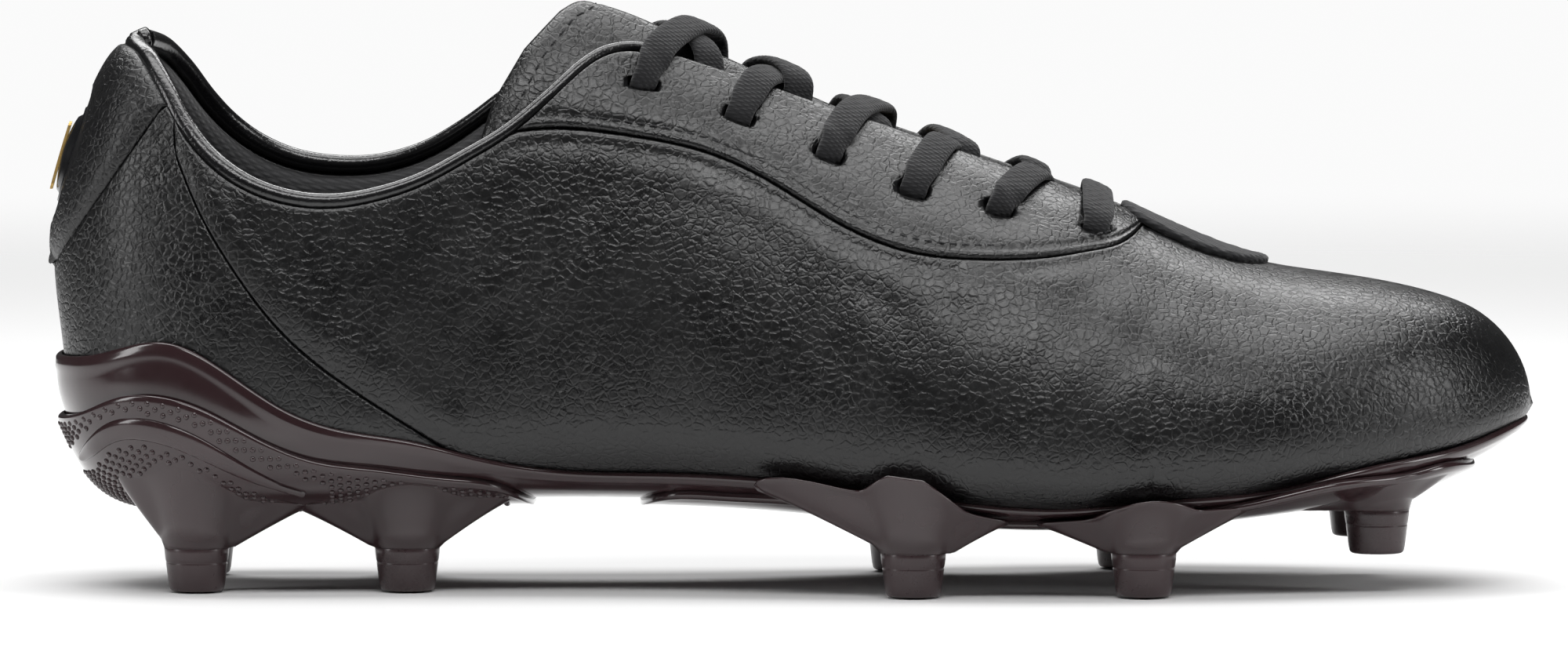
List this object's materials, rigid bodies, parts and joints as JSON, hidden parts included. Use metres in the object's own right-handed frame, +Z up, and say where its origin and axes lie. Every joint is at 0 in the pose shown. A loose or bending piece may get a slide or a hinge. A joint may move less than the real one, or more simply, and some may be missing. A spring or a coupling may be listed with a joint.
{
  "type": "soccer cleat",
  "caption": "Low-cut right soccer cleat: black leather upper over a padded lining, hinged tongue, flat crossed lace, and a dark moulded sole with conical studs under heel, forefoot and toe.",
  "frame": {"origin": "on the ground under the middle of the boot's bounding box", "axes": "+X towards the toe, +Y towards the inner (medial) side of the foot, +Z up"},
  "size_m": [0.2846, 0.0951, 0.1126],
  "materials": {
    "upper_leather": "semi-gloss, fine grain",
    "piping_leather": "glossy, smooth",
    "stiffener_plastic": "matt, hidden",
    "foam": "matt open foam, hidden",
    "backing_fabric": "woven, hidden",
    "lining_fabric": "soft brushed knit",
    "board_fibre": "pressed fibre, hidden",
    "sockliner_fabric": "fine knit over foam",
    "shank_plastic": "matt, hidden",
    "sole_plastic": "glossy, very dark maroon",
    "stud_plastic": "satin, very dark maroon",
    "badge_plastic": "glossy",
    "gold_print": "satin gold colour",
    "tongue_fabric": "soft, matt",
    "lace_fabric": "flat braid",
    "aglet_plastic": "glossy"
  },
  "bodies": {
    "boot": {"vamp": "upper_leather", "eyestay_lateral": "upper_leather", "eyestay_medial": "upper_leather", "heel_cover": "upper_leather", "heel_tab": "upper_leather", "heel_stiffener": "stiffener_plastic", "quarter_foam": "foam", "toe_puff": "stiffener_plastic", "eyestay_backing_lateral": "backing_fabric", "eyestay_backing_medial": "backing_fabric", "quarter_lining": "lining_fabric", "vamp_lining": "lining_fabric", "collar_foam": "foam", "collar_lining": "lining_fabric", "collar_piping": "piping_leather", "lasting_board": "board_fibre", "bottom_filler": "foam", "shank": "shank_plastic", "outsole_chassis": "sole_plastic", "forefoot_stud_plate": "stud_plastic", "heel_stud_plate": "stud_plastic", "stud_tip_1": "stud_plastic", "stud_tip_2": "stud_plastic", "stud_tip_3": "stud_plastic", "stud_tip_4": "stud_plastic", "stud_tip_5": "stud_plastic", "stud_tip_6": "stud_plastic", "stud_tip_7": "stud_plastic", "stud_tip_8": "stud_plastic", "stud_tip_9": "stud_plastic", "stud_tip_10": "stud_plastic", "heel_badge": "badge_plastic", "heel_mark": "gold_print", "tongue_root_patch": "tongue_fabric", "lace": "lace_fabric", "aglet_lateral": "aglet_plastic", "aglet_medial": "aglet_plastic"},
    "tongue": {"tongue_cover": "tongue_fabric", "tongue_foam": "foam", "tongue_lining": "lining_fabric", "tongue_mark": "gold_print"},
    "sockliner": {"sockliner": "sockliner_fabric"}
  },
  "joints": [
    {"name": "tongue_hinge", "type": "hinge", "parent": "boot", "child": "tongue", "pos_m": [0.0642, 0, 0.063], "axis": [0, 1, 0], "range_deg": [-5, 0], "stiffness_Nm_per_rad": 1.5},
    {"name": "sockliner_lift", "type": "hinge", "parent": "boot", "child": "sockliner", "pos_m": [0.1252, 0, 0.0285], "axis": [0, 1, 0], "range_deg": [0, 5]}
  ]
}
